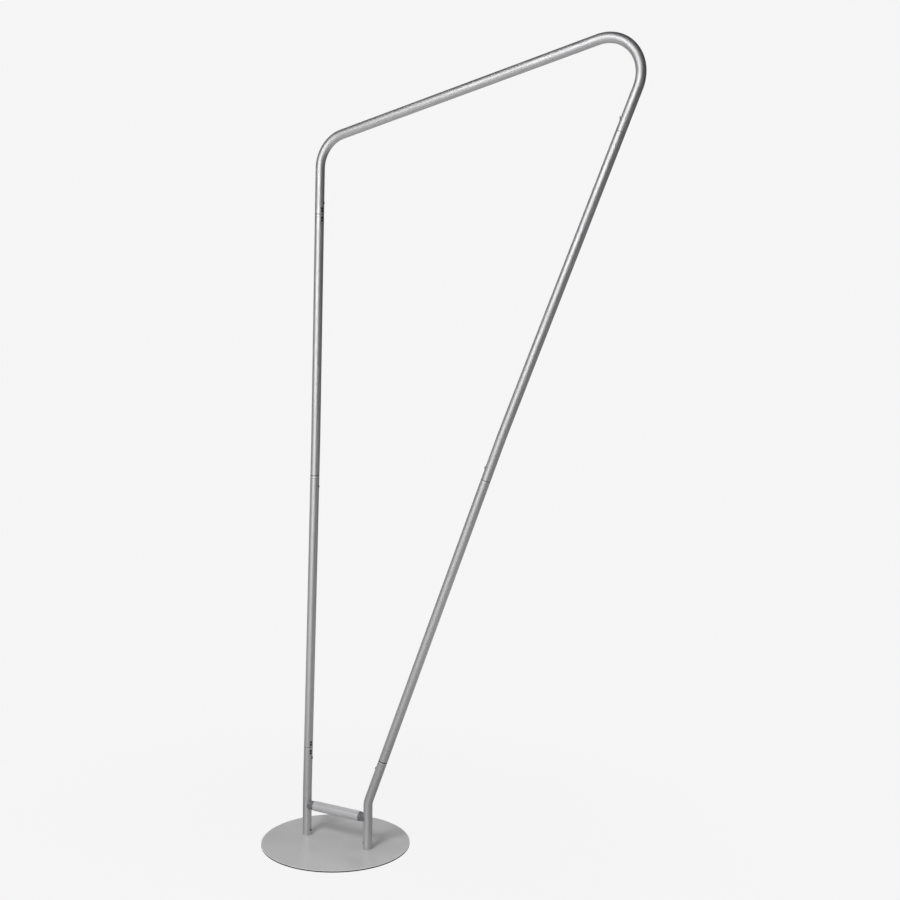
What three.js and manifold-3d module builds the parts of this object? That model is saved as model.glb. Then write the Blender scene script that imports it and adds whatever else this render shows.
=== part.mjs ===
// A free-standing tube stand: a round steel base plate carries two pegs, and a frame of
// push-together aluminium tubes stands on them.  The top slopes, one leg is nearly upright
// and the other leans outwards.  Every joint is an inner spigot locked by a sprung button.
// Millimetres, +Z up, origin at the centre of the plate's underside.  The frame lies in the
// XZ plane, with the upright leg on the -X side.
import * as THREE from 'three';
import { mergeVertices } from 'three/addons/utils/BufferGeometryUtils.js';
import Module from 'manifold-3d';

// ---- driving dimensions -------------------------------------------------------------
const TUBE_OD = 30;
const TUBE_WALL = 1.5;
const TUBE_ID = TUBE_OD - 2 * TUBE_WALL;
const SEAM_GAP = 1.0;
const CLEAR = 0.3;

const PLATE_D = 500;
const PLATE_T = 5;
const PLATE_CHAMFER = 0.8;

const LEFT_PEG_X = -118.5;
const RIGHT_PEG_X = 126.5;

const LEFT_BEND_Z = 160;
const LEFT_BEND_R = 60;
const LEFT_LEAN = 1.1;
const LEFT_SET_Z = 1360;
const LEFT_SET = -0.5;
const LEFT_CORNER_Z = 2322;
const LEFT_CORNER_R = 104;

const RIGHT_BEND_Z = 163;
const RIGHT_BEND_R = 60;
const RIGHT_LEAN = 20.6;
const RIGHT_SET_Z = 1385;
const RIGHT_SET = 1.3;
const RIGHT_CORNER_Z = 2556;
const RIGHT_CORNER_R = 108;
const SET_R = 3000;

const LEFT_POST_LENGTH = 307;
const LEFT_LOWER_LENGTH = 926;
const LEFT_UPPER_LENGTH = 853;
const RIGHT_POST_LENGTH = 317;
const RIGHT_LOWER_LENGTH = 1004;
const RIGHT_UPPER_LENGTH = 1078;

const CROSSBAR_Z = 109.5;
const CROSSBAR_OD = 33;
const CROSSBAR_WALL = 2.5;
const SADDLE_OD = 30;
const SADDLE_MOUTH = 8;
const SADDLE_END = 31.5;
const SADDLE_PLUG_LENGTH = 22;
const SADDLE_PLUG_LEAD_IN = 2;
const RIB_PITCH = 4;
const RIB_DEPTH = 0.7;
const RIB_FLOOR = 1;
const RIB_SLOPE = 0.5;
const SADDLE_SCREW_R = 3;
const SADDLE_SCREW_HEAD_R = 5;
const SADDLE_SCREW_HEAD_T = 3.4;
const SADDLE_SCREW_HEAD_CHAMFER = 1.5;
const SADDLE_SCREW_LENGTH = 22;
const SADDLE_SCREW_WASHER = 1;
const SADDLE_SCREW_KEY_R = 2;
const SADDLE_SCREW_KEY_DEPTH = 2;
const SCREW_TIP_CHAMFER = 1;

const SPIGOT_OD = 26.2;
const SPIGOT_ID = 22;
const SPIGOT_HALF = 60;

const PEG_OD = 26;
const PEG_ID = 21;
const PEG_HEIGHT = 70;
const PEG_FLOOR = 9;
const PEG_THREAD = 8;
const PEG_LEAD_IN = 2;
const PEG_BUTTON_HEIGHT = 17;

const PEG_SCREW_R = 5;
const PEG_SCREW_HEAD_R = 9.5;
const PEG_SCREW_HEAD_T = 3.6;
const PEG_SCREW_LENGTH = 11;
const PEG_SCREW_KEY_R = 3;
const PEG_SCREW_KEY_DEPTH = 2.4;

const BUTTON_R = 4;
const BUTTON_PROUD = 3.5;
const BUTTON_FLANGE_R = 5;
const BUTTON_FLANGE_T = 1.2;
const BUTTON_STOP_GAP = 0.3;
const BUTTON_BACK_CHAMFER = 0.8;
const BUTTON_DOME_T = 1.6;
const BUTTON_DOME_SHOULDER = 0.6;
const BUTTON_DOME_INSET = 1.8;
const BUTTON_FROM_SEAM = 36;
const HOLE_PLAY = 0.25;

const LEAF_WIDTH = 8;
const LEAF_T = 0.6;
const LEAF_LENGTH = 40;
const LEAF_BEND_R = 4;
const LEAF_END = 6;
const LEAF_BACK_GAP = 1.2;

const ROUND = 24;
const PLATE_ROUND = 72;
const HEX = 6;
const LEAF_ROUND = 6;
const ARC_STEP = 10;
const OVERCUT = 1;

const deg = THREE.MathUtils.degToRad;

// ---- solids -------------------------------------------------------------------------
const wasm = await Module();
wasm.setup();

function toSolid(geometry) {
  const bare = geometry.clone();
  bare.deleteAttribute('normal');
  bare.deleteAttribute('uv');
  const welded = mergeVertices(bare.index ? bare.toNonIndexed() : bare, 1e-4);
  return new wasm.Manifold(new wasm.Mesh({
    numProp: 3,
    vertProperties: Float32Array.from(welded.attributes.position.array),
    triVerts: Uint32Array.from(welded.index.array),
  }));
}

function toGeometry(solid) {
  const mesh = solid.getMesh();
  const geometry = new THREE.BufferGeometry();
  geometry.setAttribute('position', new THREE.BufferAttribute(mesh.vertProperties, 3));
  geometry.setIndex(new THREE.BufferAttribute(mesh.triVerts, 1));
  geometry.computeVertexNormals();
  return geometry;
}

function cut(geometry, tools) {
  let solid = toSolid(geometry);
  for (const tool of tools) {
    solid = solid.subtract(toSolid(tool));
  }
  return toGeometry(solid);
}

// A turned piece about +Z from [radius, height] pairs that close on themselves.
function turned(profile, segments = ROUND) {
  const points = profile.map(([r, z]) => new THREE.Vector2(r, z));
  if (profile[0][0] > 0) {
    points.push(points[0].clone());
  }
  return new THREE.LatheGeometry(points, segments).rotateX(Math.PI / 2);
}

// A plain round bar along +Z from z0 to z1.
function bar(radius, z0, z1, segments = ROUND) {
  const geometry = new THREE.CylinderGeometry(radius, radius, z1 - z0, segments);
  return geometry.rotateX(Math.PI / 2).translate(0, 0, (z0 + z1) / 2);
}

// A straight tube along +Z.
function pipe(outer, inner, z0, z1) {
  return turned([[inner, z0], [outer, z0], [outer, z1], [inner, z1]]);
}

// Turns a geometry's +Z to a direction and moves its origin to a point.
function aim(geometry, point, direction) {
  const turn = new THREE.Quaternion().setFromUnitVectors(new THREE.Vector3(0, 0, 1), direction);
  return geometry.applyQuaternion(turn).translate(point.x, point.y, point.z);
}

// ---- the line that the tubes follow --------------------------------------------------
// Corner points in the XZ plane with the radius of the bend at each, joined by lines and arcs.
class TubeLine {
  constructor(corners) {
    this.parts = [];
    this.length = 0;
    const points = corners.map(([x, z]) => new THREE.Vector3(x, 0, z));
    let from = points[0];
    for (let i = 1; i < points.length - 1; i += 1) {
      const back = points[i - 1].clone().sub(points[i]).normalize();
      const on = points[i + 1].clone().sub(points[i]).normalize();
      const turn = Math.PI - back.angleTo(on);
      const radius = corners[i][2];
      const trim = radius * Math.tan(turn / 2);
      const start = points[i].clone().addScaledVector(back, trim);
      this.addLine(from, start);
      this.addArc(start, back.clone().negate(), on, turn, radius);
      from = points[i].clone().addScaledVector(on, trim);
    }
    this.addLine(from, points[points.length - 1]);
  }

  addLine(from, to) {
    const length = from.distanceTo(to);
    const along = to.clone().sub(from).normalize();
    this.parts.push({ start: this.length, length, steps: 1,
      point: (s) => from.clone().addScaledVector(along, s),
      tangent: () => along.clone() });
    this.length += length;
  }

  addArc(start, heading, leaving, turn, radius) {
    const inward = leaving.clone().addScaledVector(heading, -Math.cos(turn)).normalize();
    const length = radius * turn;
    const steps = Math.max(1, Math.ceil(THREE.MathUtils.radToDeg(turn) / ARC_STEP));
    this.parts.push({ start: this.length, length, steps,
      point: (s) => start.clone()
        .addScaledVector(heading, radius * Math.sin(s / radius))
        .addScaledVector(inward, radius * (1 - Math.cos(s / radius))),
      tangent: (s) => heading.clone().multiplyScalar(Math.cos(s / radius))
        .addScaledVector(inward, Math.sin(s / radius)) });
    this.length += length;
  }

  at(distance) {
    const found = this.parts.find((p) => distance <= p.start + p.length) ?? this.parts.at(-1);
    const s = distance - found.start;
    return { point: found.point(s), tangent: found.tangent(s) };
  }

  // The distances between two places where a tube needs a section.
  stations(from, to) {
    const list = [from];
    for (const part of this.parts) {
      for (let i = 0; i <= part.steps; i += 1) {
        const s = part.start + (part.length * i) / part.steps;
        if (s > list.at(-1) + 0.5 && s < to - 0.5) {
          list.push(s);
        }
      }
    }
    list.push(to);
    return list;
  }
}

// A stretch of the line as a curve whose even steps fall on the chosen stations.
class Stretch extends THREE.Curve {
  constructor(line, from, to) {
    super();
    this.line = line;
    this.list = line.stations(from, to);
    this.steps = this.list.length - 1;
  }

  distance(t) {
    const place = t * this.steps;
    const i = Math.min(Math.floor(place), this.steps - 1);
    return THREE.MathUtils.lerp(this.list[i], this.list[i + 1], place - i);
  }

  getUtoTmapping(u) {
    return u;
  }

  getPoint(t) {
    return this.line.at(this.distance(t)).point;
  }

  getTangent(t) {
    return this.line.at(this.distance(t)).tangent;
  }
}

function leanFrom(x, z0, z1, angle) {
  return x + (z1 - z0) * Math.tan(deg(angle));
}

const leftSetX = leanFrom(LEFT_PEG_X, LEFT_BEND_Z, LEFT_SET_Z, LEFT_LEAN);
const leftCornerX = leanFrom(leftSetX, LEFT_SET_Z, LEFT_CORNER_Z, LEFT_LEAN + LEFT_SET);
const rightSetX = leanFrom(RIGHT_PEG_X, RIGHT_BEND_Z, RIGHT_SET_Z, RIGHT_LEAN);
const rightCornerX = leanFrom(rightSetX, RIGHT_SET_Z, RIGHT_CORNER_Z, RIGHT_LEAN + RIGHT_SET);
const footZ = PLATE_T + CLEAR;

const line = new TubeLine([
  [LEFT_PEG_X, footZ],
  [LEFT_PEG_X, LEFT_BEND_Z, LEFT_BEND_R],
  [leftSetX, LEFT_SET_Z, SET_R],
  [leftCornerX, LEFT_CORNER_Z, LEFT_CORNER_R],
  [rightCornerX, RIGHT_CORNER_Z, RIGHT_CORNER_R],
  [rightSetX, RIGHT_SET_Z, SET_R],
  [RIGHT_PEG_X, RIGHT_BEND_Z, RIGHT_BEND_R],
  [RIGHT_PEG_X, footZ],
]);

// Seams, as distances along the line from the left foot.
const seams = {
  left_lower: LEFT_POST_LENGTH,
  left_middle: LEFT_POST_LENGTH + LEFT_LOWER_LENGTH,
  left_upper: LEFT_POST_LENGTH + LEFT_LOWER_LENGTH + LEFT_UPPER_LENGTH,
  right_upper: line.length - RIGHT_POST_LENGTH - RIGHT_LOWER_LENGTH - RIGHT_UPPER_LENGTH,
  right_middle: line.length - RIGHT_POST_LENGTH - RIGHT_LOWER_LENGTH,
  right_lower: line.length - RIGHT_POST_LENGTH,
};

// Each button sits in the tube that slides off, on the side that faces into the frame.
// toward is +1 where that tube lies further along the line than the seam, -1 where before.
const locks = [
  { joint: 'left_lower', toward: -1 },
  { joint: 'left_middle', toward: -1 },
  { joint: 'left_upper', toward: 1 },
  { joint: 'right_upper', toward: -1 },
  { joint: 'right_middle', toward: -1 },
  { joint: 'right_lower', toward: 1 },
].map(({ joint, toward }) => {
  const seam = line.at(seams[joint]);
  const place = line.at(seams[joint] + toward * BUTTON_FROM_SEAM);
  return { name: joint, at: seams[joint], toward, seam, place };
});

const pegs = [
  { name: 'left_peg', x: LEFT_PEG_X, inward: 1 },
  { name: 'right_peg', x: RIGHT_PEG_X, inward: -1 },
];

// The direction into the frame's window from a place on the line.
function windowward(tangent) {
  return new THREE.Vector3(tangent.z, 0, -tangent.x);
}

// ---- materials ----------------------------------------------------------------------
const materials = {
  plate: { color: 0xa6a7aa, roughness: 0.5, metalness: 0.3 },
  tube: { color: 0xb9b9bd, roughness: 0.35, metalness: 0.9 },
  crossbar: { color: 0xc2c2c6, roughness: 0.35, metalness: 0.9 },
  saddle: { color: 0x55565a, roughness: 0.6, metalness: 0.1 },
  spigot: { color: 0xa9abb0, roughness: 0.4, metalness: 0.9 },
  peg: { color: 0x8d8f93, roughness: 0.4, metalness: 0.9 },
  screw: { color: 0x77797d, roughness: 0.4, metalness: 0.9 },
  button: { color: 0xc9ccd0, roughness: 0.25, metalness: 1.0 },
  leaf: { color: 0x6f7378, roughness: 0.35, metalness: 1.0 },
};

const stand = new THREE.Group();

function addPiece(name, geometry, finish, parent = stand) {
  const mesh = new THREE.Mesh(geometry, new THREE.MeshStandardMaterial(materials[finish]));
  mesh.name = name;
  parent.add(mesh);
  return mesh;
}

// ---- base plate, pegs and their screws ------------------------------------------------
function basePlate() {
  const r = PLATE_D / 2;
  const c = PLATE_CHAMFER;
  const disc = turned([[0, 0], [r - c, 0], [r, c], [r, PLATE_T - c], [r - c, PLATE_T],
    [0, PLATE_T]], PLATE_ROUND);
  const holes = pegs.map(({ x }) => turned([
    [0, -OVERCUT],
    [PEG_SCREW_HEAD_R + CLEAR, -OVERCUT],
    [PEG_SCREW_HEAD_R + CLEAR, CLEAR],
    [PEG_SCREW_R + CLEAR, PEG_SCREW_HEAD_T + CLEAR],
    [PEG_SCREW_R + CLEAR, PLATE_T + OVERCUT],
    [0, PLATE_T + OVERCUT],
  ]).translate(x, 0, 0));
  return cut(disc, holes);
}

function pegBody(inward) {
  const outer = PEG_OD / 2;
  const inner = PEG_ID / 2;
  const top = footZ + PEG_HEIGHT;
  const threadTop = footZ + PEG_THREAD;
  const cup = turned([
    [0, threadTop], [PEG_SCREW_R + CLEAR, threadTop], [PEG_SCREW_R + CLEAR, footZ],
    [outer, footZ], [outer, top - PEG_LEAD_IN], [outer - PEG_LEAD_IN, top], [inner, top],
    [inner, footZ + PEG_FLOOR], [0, footZ + PEG_FLOOR],
  ]);
  const hole = bar(BUTTON_R + HOLE_PLAY, 0, PEG_OD);
  const height = new THREE.Vector3(0, 0, footZ + PEG_BUTTON_HEIGHT);
  return cut(cup, [aim(hole, height, new THREE.Vector3(inward, 0, 0))]);
}

function pegScrew() {
  const tip = PEG_SCREW_LENGTH + SCREW_TIP_CHAMFER;
  const body = turned([
    [0, CLEAR], [PEG_SCREW_HEAD_R, CLEAR], [PEG_SCREW_R, PEG_SCREW_HEAD_T],
    [PEG_SCREW_R, PEG_SCREW_LENGTH], [PEG_SCREW_R - SCREW_TIP_CHAMFER, tip], [0, tip],
  ]);
  return cut(body, [bar(PEG_SCREW_KEY_R, -OVERCUT, CLEAR + PEG_SCREW_KEY_DEPTH, HEX)]);
}

addPiece('base_plate', basePlate(), 'plate');
for (const { name, x, inward } of pegs) {
  addPiece(name, pegBody(inward), 'peg').position.set(x, 0, 0);
  addPiece(`${name}_screw`, pegScrew(), 'screw').position.set(x, 0, 0);
}

// ---- tubes --------------------------------------------------------------------------
function ringShape(outer, inner) {
  const shape = new THREE.Shape().absarc(0, 0, outer, 0, 2 * Math.PI);
  shape.holes.push(new THREE.Path().absarc(0, 0, inner, 0, 2 * Math.PI));
  return shape;
}

// A tube along the line between two distances, with the holes that its fittings need.
function lineTube(from, to, holes) {
  const path = new Stretch(line, from, to);
  const tube = new THREE.ExtrudeGeometry(ringShape(TUBE_OD / 2, TUBE_ID / 2),
    { steps: path.steps, extrudePath: path, curveSegments: ROUND / 2 });
  return holes.length > 0 ? cut(tube, holes) : tube;
}

function buttonHole(point, direction) {
  return aim(bar(BUTTON_R + HOLE_PLAY, 0, TUBE_OD), point, direction);
}

// The button holes of the tube that runs between two distances.
function locksBetween(from, to) {
  return locks.filter(({ at, toward }) => {
    const s = at + toward * BUTTON_FROM_SEAM;
    return s > from && s < to;
  }).map(({ place }) => buttonHole(place.point, windowward(place.tangent)));
}

// A post also has the peg button's hole at its foot and the crossbar screw's hole.
function postHoles({ x, inward }) {
  const side = new THREE.Vector3(inward, 0, 0);
  const screw = bar(SADDLE_SCREW_R + CLEAR, 0, TUBE_OD);
  return [
    buttonHole(new THREE.Vector3(x, 0, footZ + PEG_BUTTON_HEIGHT), side),
    aim(screw, new THREE.Vector3(x, 0, CROSSBAR_Z), side),
  ];
}

const half = SEAM_GAP / 2;
const tubes = [
  { name: 'left_post', from: 0, to: seams.left_lower - half, extra: postHoles(pegs[0]) },
  { name: 'left_lower_tube', from: seams.left_lower + half, to: seams.left_middle - half },
  { name: 'left_upper_tube', from: seams.left_middle + half, to: seams.left_upper - half },
  { name: 'top_bow', from: seams.left_upper + half, to: seams.right_upper - half },
  { name: 'right_upper_tube', from: seams.right_upper + half, to: seams.right_middle - half },
  { name: 'right_lower_tube', from: seams.right_middle + half, to: seams.right_lower - half },
  { name: 'right_post', from: seams.right_lower + half, to: line.length,
    extra: postHoles(pegs[1]) },
];
for (const { name, from, to, extra = [] } of tubes) {
  addPiece(name, lineTube(from, to, [...locksBetween(from, to), ...extra]), 'tube');
}

// ---- crossbar with its saddles and screws ----------------------------------------------
const postFace = TUBE_OD / 2 + CLEAR;

// A saddle lies along +Z with its post's axis at z = 0.  Its mouth fits round the post, and
// its collar ends in a shoulder that the crossbar tube meets.
function saddleBody() {
  const outer = SADDLE_OD / 2;
  const plug = CROSSBAR_OD / 2 - CROSSBAR_WALL - CLEAR;
  const end = SADDLE_END + SADDLE_PLUG_LENGTH;
  const body = turned([
    [0, SADDLE_MOUTH], [outer, SADDLE_MOUTH], [outer, SADDLE_END], [plug, SADDLE_END],
    [plug, end - SADDLE_PLUG_LEAD_IN], [plug - SADDLE_PLUG_LEAD_IN, end], [0, end],
  ]);
  const grooves = [];
  const low = outer - RIB_DEPTH;
  const clear = outer + OVERCUT;
  for (let z = TUBE_OD / 2 + RIB_PITCH; z < SADDLE_END - RIB_PITCH / 2; z += RIB_PITCH) {
    grooves.push(turned([[low, z], [clear, z - RIB_SLOPE],
      [clear, z + RIB_FLOOR + RIB_SLOPE], [low, z + RIB_FLOOR]]));
  }
  const post = bar(postFace, -TUBE_OD, TUBE_OD).rotateY(Math.PI / 2);
  const thread = bar(SADDLE_SCREW_R + CLEAR, 0, TUBE_OD / 2 + SADDLE_SCREW_LENGTH);
  return cut(body, [post, thread, ...grooves]);
}

// A button-head screw from inside the post: head against the wall, shank in the saddle.
function saddleScrew() {
  const wall = TUBE_ID / 2 - CLEAR - SADDLE_SCREW_WASHER;
  const head = wall - SADDLE_SCREW_HEAD_T;
  const tip = wall + SADDLE_SCREW_LENGTH;
  const body = turned([
    [0, head], [SADDLE_SCREW_HEAD_R - SADDLE_SCREW_HEAD_CHAMFER, head],
    [SADDLE_SCREW_HEAD_R, head + SADDLE_SCREW_HEAD_CHAMFER],
    [SADDLE_SCREW_HEAD_R, wall], [SADDLE_SCREW_R, wall],
    [SADDLE_SCREW_R, tip - SCREW_TIP_CHAMFER], [SADDLE_SCREW_R - SCREW_TIP_CHAMFER, tip],
    [0, tip],
  ]);
  const key = bar(SADDLE_SCREW_KEY_R, head - OVERCUT, head + SADDLE_SCREW_KEY_DEPTH, HEX);
  return cut(body, [key]);
}

const crossbarLength = RIGHT_PEG_X - LEFT_PEG_X - 2 * (SADDLE_END + CLEAR);
const crossbar = pipe(CROSSBAR_OD / 2, CROSSBAR_OD / 2 - CROSSBAR_WALL,
  -crossbarLength / 2, crossbarLength / 2).rotateY(Math.PI / 2);
addPiece('crossbar_tube', crossbar, 'crossbar')
  .position.set((LEFT_PEG_X + RIGHT_PEG_X) / 2, 0, CROSSBAR_Z);
for (const { name, x, inward } of pegs) {
  const side = name.replace('_peg', '');
  const crossEnd = new THREE.Group();
  crossEnd.position.set(x, 0, CROSSBAR_Z);
  crossEnd.rotation.y = inward * Math.PI / 2;
  addPiece(`${side}_saddle`, saddleBody(), 'saddle', crossEnd);
  addPiece(`${side}_saddle_screw`, saddleScrew(), 'screw', crossEnd);
  stand.add(crossEnd);
}

// ---- spigots, buttons and leaf springs --------------------------------------------------
// A fitting lies with its tube's axis on Z and its button towards +X, so it can be placed
// at any joint by one group that turns +X to the frame's window.
function spigotBody(towardButton) {
  const sleeve = pipe(SPIGOT_OD / 2, SPIGOT_ID / 2, -SPIGOT_HALF, SPIGOT_HALF);
  const hole = bar(BUTTON_R + HOLE_PLAY, 0, SPIGOT_OD).rotateY(Math.PI / 2);
  return cut(sleeve, [hole.translate(0, 0, towardButton * BUTTON_FROM_SEAM)]);
}

// The button points along +X from the bore, with a flange that stops it from inside.
function buttonBody(bore) {
  const tip = TUBE_OD / 2 + BUTTON_PROUD;
  const stop = bore / 2 - CLEAR - BUTTON_STOP_GAP;
  const back = stop - BUTTON_FLANGE_T;
  const flange = Math.min(BUTTON_FLANGE_R, Math.sqrt((bore / 2 - CLEAR) ** 2 - stop ** 2));
  return turned([
    [0, back], [BUTTON_R - BUTTON_BACK_CHAMFER, back], [flange, back + BUTTON_STOP_GAP],
    [flange, stop], [BUTTON_R, stop], [BUTTON_R, tip - BUTTON_DOME_T],
    [BUTTON_R - BUTTON_DOME_SHOULDER, tip - BUTTON_DOME_SHOULDER],
    [BUTTON_R - BUTTON_DOME_INSET, tip], [0, tip],
  ]).rotateY(Math.PI / 2);
}

// A hairpin of strip steel: one leg lies on the wall behind, the other carries the button.
// The bend is below the button, and the legs run along Z.
function leafSpring(bore) {
  const behind = -bore / 2 + LEAF_BACK_GAP;
  const front = bore / 2 - CLEAR - BUTTON_STOP_GAP - BUTTON_FLANGE_T - CLEAR;
  const outline = new THREE.Shape();
  const bendZ = -LEAF_LENGTH + LEAF_BEND_R;
  const middle = behind + LEAF_BEND_R;
  outline.moveTo(behind, LEAF_END);
  outline.lineTo(behind, bendZ);
  outline.absarc(middle, bendZ, LEAF_BEND_R, Math.PI, 2 * Math.PI, false);
  outline.lineTo(front, -LEAF_END);
  outline.lineTo(front, LEAF_END);
  outline.lineTo(front - LEAF_T, LEAF_END);
  outline.lineTo(front - LEAF_T, -LEAF_END);
  outline.lineTo(middle + LEAF_BEND_R - LEAF_T, bendZ);
  outline.absarc(middle, bendZ, LEAF_BEND_R - LEAF_T, 2 * Math.PI, Math.PI, true);
  outline.lineTo(behind + LEAF_T, LEAF_END);
  outline.closePath();
  const strip = new THREE.ExtrudeGeometry(outline, { depth: LEAF_WIDTH, bevelEnabled: false,
    curveSegments: LEAF_ROUND });
  return strip.translate(0, 0, -LEAF_WIDTH / 2).rotateX(Math.PI / 2);
}

// A group whose +Z follows the tube and whose +X faces the window.
function fittingFrame(point, along, inward) {
  const group = new THREE.Group();
  const across = new THREE.Vector3().crossVectors(along, inward);
  const turn = new THREE.Matrix4().makeBasis(inward, across, along);
  group.quaternion.setFromRotationMatrix(turn);
  group.position.copy(point);
  stand.add(group);
  return group;
}

for (const { name, toward, seam, place } of locks) {
  const inward = windowward(seam.tangent);
  const atSeam = fittingFrame(seam.point, seam.tangent, inward);
  addPiece(`${name}_spigot`, spigotBody(toward), 'spigot', atSeam);
  const atButton = fittingFrame(place.point, seam.tangent, inward);
  addPiece(`${name}_button`, buttonBody(SPIGOT_ID), 'button', atButton);
  const atLeaf = fittingFrame(place.point, seam.tangent.clone().multiplyScalar(toward), inward);
  addPiece(`${name}_leaf_spring`, leafSpring(SPIGOT_ID), 'leaf', atLeaf);
}
for (const { name, x, inward } of pegs) {
  const side = new THREE.Vector3(inward, 0, 0);
  const height = new THREE.Vector3(x, 0, footZ + PEG_BUTTON_HEIGHT);
  const up = new THREE.Vector3(0, 0, 1);
  addPiece(`${name}_button`, buttonBody(PEG_ID), 'button', fittingFrame(height, up, side));
  const down = up.clone().negate();
  addPiece(`${name}_leaf_spring`, leafSpring(PEG_ID), 'leaf', fittingFrame(height, down, side));
}

export default stand;
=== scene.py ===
# %% [markdown]
# # A slanted tube stand on a round base plate
# The stand is a frame of push-together aluminium tubes on two pegs, which stand on a round
# steel plate. A fabric flag or banner is pulled over it like a sleeve.
# This lesson dresses a fixed mechanical model. The model knows where every piece is and how it
# moves. Blender gives each piece its fine surface: rounded tube ends, drawn-metal grain,
# powder coat, moulded ribs and small signs of use.
# Everything is in metres, and the model's own frame is kept.

import math

import bpy
from mathutils import Matrix, Vector


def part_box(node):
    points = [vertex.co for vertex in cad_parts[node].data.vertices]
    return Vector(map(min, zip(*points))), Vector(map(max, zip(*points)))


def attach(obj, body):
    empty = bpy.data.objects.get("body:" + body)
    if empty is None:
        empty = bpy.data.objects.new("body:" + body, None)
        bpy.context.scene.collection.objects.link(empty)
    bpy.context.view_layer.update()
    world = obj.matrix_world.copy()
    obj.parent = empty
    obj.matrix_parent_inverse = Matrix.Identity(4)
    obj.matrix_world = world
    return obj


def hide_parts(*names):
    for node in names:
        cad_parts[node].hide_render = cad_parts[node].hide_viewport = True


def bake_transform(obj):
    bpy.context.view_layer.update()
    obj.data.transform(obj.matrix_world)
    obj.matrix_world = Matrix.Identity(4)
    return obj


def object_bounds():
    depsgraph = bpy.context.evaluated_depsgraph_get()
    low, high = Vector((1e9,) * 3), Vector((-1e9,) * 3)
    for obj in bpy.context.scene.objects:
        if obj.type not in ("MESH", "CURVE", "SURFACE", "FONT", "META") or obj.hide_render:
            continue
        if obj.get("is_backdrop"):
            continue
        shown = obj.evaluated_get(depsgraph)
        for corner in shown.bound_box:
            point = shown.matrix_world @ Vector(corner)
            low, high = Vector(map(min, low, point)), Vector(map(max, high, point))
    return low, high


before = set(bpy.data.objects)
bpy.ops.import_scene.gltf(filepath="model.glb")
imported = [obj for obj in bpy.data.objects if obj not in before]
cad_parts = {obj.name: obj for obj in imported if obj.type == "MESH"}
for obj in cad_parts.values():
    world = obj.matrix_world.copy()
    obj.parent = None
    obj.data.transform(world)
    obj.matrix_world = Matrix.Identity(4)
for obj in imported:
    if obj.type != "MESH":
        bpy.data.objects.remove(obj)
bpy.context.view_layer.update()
scene = bpy.context.scene

# %% [markdown]
# ## The line that the tubes follow
# On the real stand one round tube size runs from the left foot, up, over the sloping top and
# down to the right foot, cut into seven lengths. So one line describes all of them: corner
# points in the plane of the frame, with a bend radius at each.
# The two feet come from the model's posts. The corners are the design's own sizes.

# %% Sizes of the frame
TUBE_R = 0.015
TUBE_BORE_R = 0.0135
FOOT_GAP = 0.0003
PEG_BUTTON_UP = 0.017
LEFT_FOOT_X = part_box("left_peg")[0].x + 0.013
RIGHT_FOOT_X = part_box("right_peg")[0].x + 0.013
PLATE_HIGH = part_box("base_plate")[1]
PLATE_TOP = PLATE_HIGH.z
PLATE_R = PLATE_HIGH.x
FOOT_Z = PLATE_TOP + FOOT_GAP
LEFT_BEND_Z, LEFT_BEND_R = 0.160, 0.600
LEFT_SET_Z, LEFT_LEAN, LEFT_SET = 1.360, 1.1, -0.5
LEFT_CORNER_Z, LEFT_CORNER_R = 2.322, 0.104
RIGHT_BEND_Z, RIGHT_BEND_R = 0.163, 0.060
RIGHT_SET_Z, RIGHT_LEAN, RIGHT_SET = 1.385, 20.6, 1.3
RIGHT_CORNER_Z, RIGHT_CORNER_R = 2.556, 0.108
SET_R = 3.0
LEFT_POST_LENGTH = 0.307
LEFT_LOWER_LENGTH = 0.926
LEFT_UPPER_LENGTH = 0.853
RIGHT_POST_LENGTH = 0.317
RIGHT_LOWER_LENGTH = 1.004
RIGHT_UPPER_LENGTH = 1.078
SEAM_GAP = 0.001
BUTTON_FROM_SEAM = 0.036


# %% The line as straights and arcs
def leaning(x, z0, z1, degrees):
    return x + (z1 - z0) * math.tan(math.radians(degrees))


class TubeLine:
    """Straights and arcs through the corner points, walked by distance from the left foot."""

    def __init__(self, corners):
        self.parts, self.length = [], 0.0
        points = [Vector((c[0], 0, c[1])) for c in corners]
        here = points[0]
        for i in range(1, len(points) - 1):
            back = (points[i - 1] - points[i]).normalized()
            on = (points[i + 1] - points[i]).normalized()
            turn = math.pi - back.angle(on)
            radius = corners[i][2]
            trim = radius * math.tan(turn / 2)
            start = points[i] + back * trim
            self.add(here, (start - here).normalized(), None, (start - here).length, 1e9)
            inward = (on + back * math.cos(turn)).normalized()
            self.add(start, -back, inward, radius * turn, radius)
            here = points[i] + on * trim
        last = points[-1] - here
        self.add(here, last.normalized(), None, last.length, 1e9)

    def add(self, start, heading, inward, length, radius):
        self.parts.append((self.length, length, start, heading, inward, radius))
        self.length += length

    def at(self, distance):
        """The point and the direction of travel at a distance along the line."""
        for begin, length, start, heading, inward, radius in self.parts:
            if distance <= begin + length or begin + length >= self.length - 1e-9:
                break
        s = distance - begin
        if inward is None:
            return start + heading * s, heading.copy()
        a = s / radius
        point = start + heading * (radius * math.sin(a)) + inward * (radius * (1 - math.cos(a)))
        return point, heading * math.cos(a) + inward * math.sin(a)

    def stations(self, low, high, arc_step, line_step):
        """Distances between low and high, close together in bends and wide apart elsewhere."""
        marks = [low]
        for begin, length, _, _, inward, radius in self.parts:
            step = line_step if inward is None else arc_step * min(radius, 1.0)
            count = max(1, round(length / step))
            for i in range(count + 1):
                s = begin + length * i / count
                if marks[-1] + 0.0005 < s < high - 0.0005:
                    marks.append(s)
        return marks + [high]


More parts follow.
